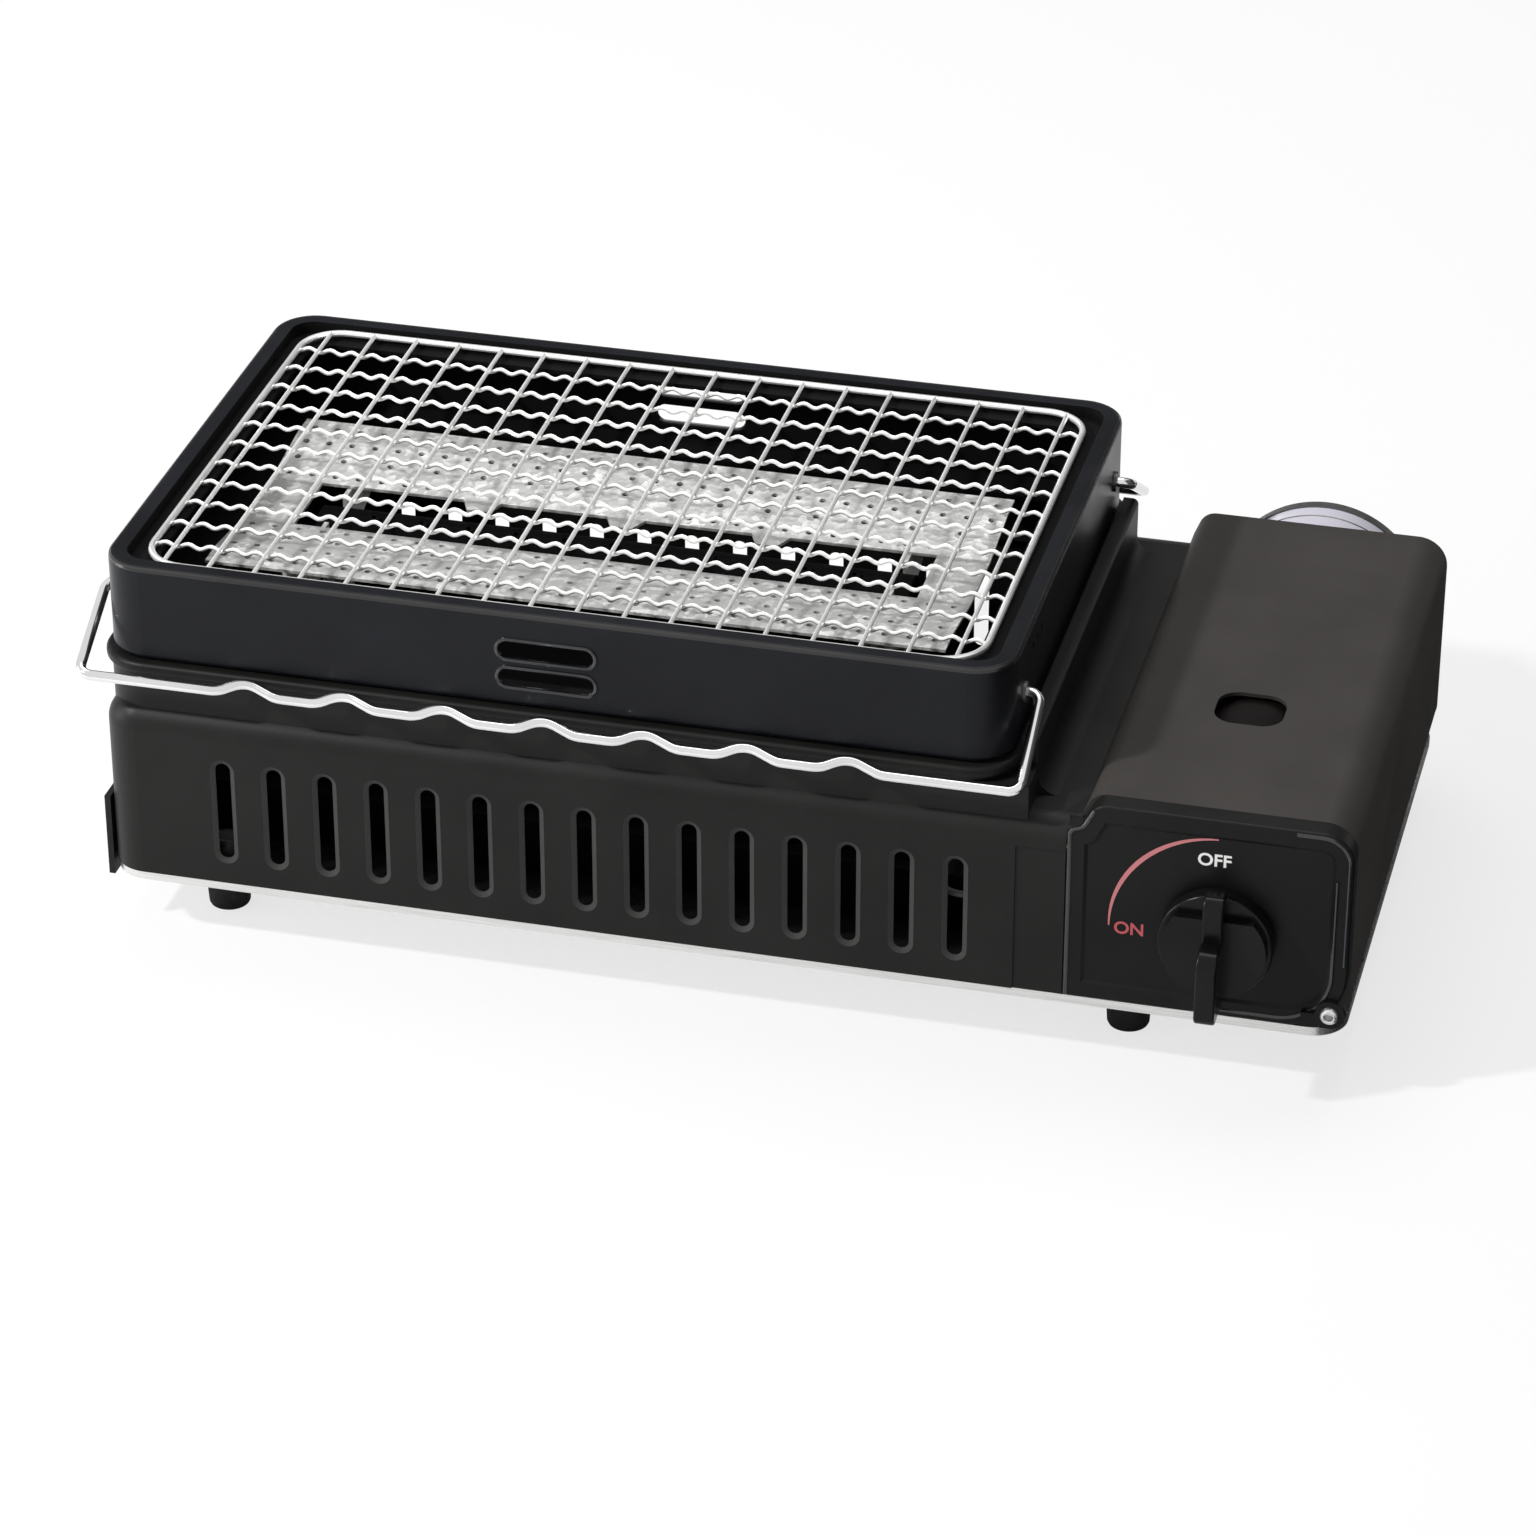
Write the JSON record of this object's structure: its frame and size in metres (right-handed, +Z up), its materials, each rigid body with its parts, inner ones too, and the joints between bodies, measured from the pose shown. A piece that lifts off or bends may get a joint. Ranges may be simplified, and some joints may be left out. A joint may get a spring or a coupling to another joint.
{
  "type": "portable gas grill",
  "caption": "Tabletop gas grill: a wire net on a lift-off tray over a burner, folding notched skewer rests, and a side bay with a hinged cover over a gas cartridge.",
  "frame": {"origin": "under the middle of the grill's bounding box, on the table", "axes": "+X along the grill towards the gas bay, +Y to the back, +Z up; the control panel faces -Y"},
  "size_m": [0.4094, 0.242, 0.1342],
  "materials": {
    "black_enamel": "satin",
    "tray_enamel": "satin",
    "grey_enamel": "satin",
    "panel_black": "satin",
    "bright_steel": "satin",
    "dull_steel": "dull",
    "chrome_wire": "polished",
    "black_plastic": "satin",
    "black_rubber": "matte",
    "brass": "satin",
    "cast_alloy": "as cast",
    "dark_iron": "matte",
    "white_glaze": "glazed",
    "lead_sleeve": "matte",
    "can_lacquer": "gloss",
    "seam_steel": "satin"
  },
  "bodies": {
    "body": {"body_shell": "black_enamel", "base_plate": "bright_steel", "left_end_plate": "black_enamel", "rubber_feet": "black_rubber", "foot_screws": "bright_steel", "heat_shield": "black_enamel", "base_screws": "bright_steel", "drip_tray": "black_enamel", "radiant_plate": "dull_steel", "burner_tube": "dull_steel", "burner_brackets": "dull_steel", "mixing_tube": "dull_steel", "mixing_mouth": "brass", "gas_jet": "brass", "jet_holder": "brass", "gas_pipe": "brass", "control_panel": "panel_black", "regulator": "cast_alloy", "regulator_cap": "cast_alloy", "holding_magnet": "dark_iron", "piezo_igniter": "black_plastic", "spark_insulator": "white_glaze", "spark_electrode": "bright_steel", "ignition_lead": "lead_sleeve", "cartridge_cradle": "black_enamel", "hinge_lugs": "panel_black", "hinge_pins": "bright_steel"},
    "control_knob": {"knob": "black_plastic", "valve_spindle": "bright_steel"},
    "plunger": {"igniter_plunger": "bright_steel"},
    "cover": {"cartridge_cover": "grey_enamel"},
    "cartridge": {"cartridge_can": "can_lacquer", "cartridge_seam": "seam_steel", "cartridge_valve": "bright_steel"},
    "tray": {"grill_tray": "tray_enamel", "rest_bushings": "dark_iron"},
    "net": {"grill_net": "chrome_wire"},
    "front_rest": {"front_skewer_rest": "chrome_wire"},
    "rear_rest": {"rear_skewer_rest": "chrome_wire"}
  },
  "joints": [
    {"name": "knob_turn", "type": "hinge", "parent": "body", "child": "control_knob", "pos_m": [0.16392, -0.1055, 0.0536], "axis": [0, -1, 0], "range_deg": [0, 95]},
    {"name": "igniter_push", "type": "slide", "parent": "body", "child": "plunger", "axis": [-1, 0, 0], "range_m": [0, 0.004]},
    {"name": "cover_open", "type": "hinge", "parent": "body", "child": "cover", "pos_m": [0.19992, 0, 0.0315], "axis": [0, 1, 0], "range_deg": [0, 90]},
    {"name": "cartridge_slide", "type": "slide", "parent": "body", "child": "cartridge", "axis": [0, 1, 0], "range_m": [0, 0.2]},
    {"name": "tray_lift", "type": "slide", "parent": "body", "child": "tray", "axis": [0, 0, 1], "range_m": [0, 0.08]},
    {"name": "net_lift", "type": "slide", "parent": "tray", "child": "net", "axis": [0, 0, 1], "range_m": [0, 0.06]},
    {"name": "front_rest_swing", "type": "hinge", "parent": "tray", "child": "front_rest", "pos_m": [-0.05072, -0.0728, 0.1162], "axis": [-1, 0, 0], "range_deg": [0, 84]},
    {"name": "rear_rest_swing", "type": "hinge", "parent": "tray", "child": "rear_rest", "pos_m": [-0.05072, 0.0728, 0.1162], "axis": [1, 0, 0], "range_deg": [0, 84]}
  ],
  "couplings": [
    {"joint": "igniter_push", "follows": "knob_turn", "m_per_rad": 0.002412}
  ]
}
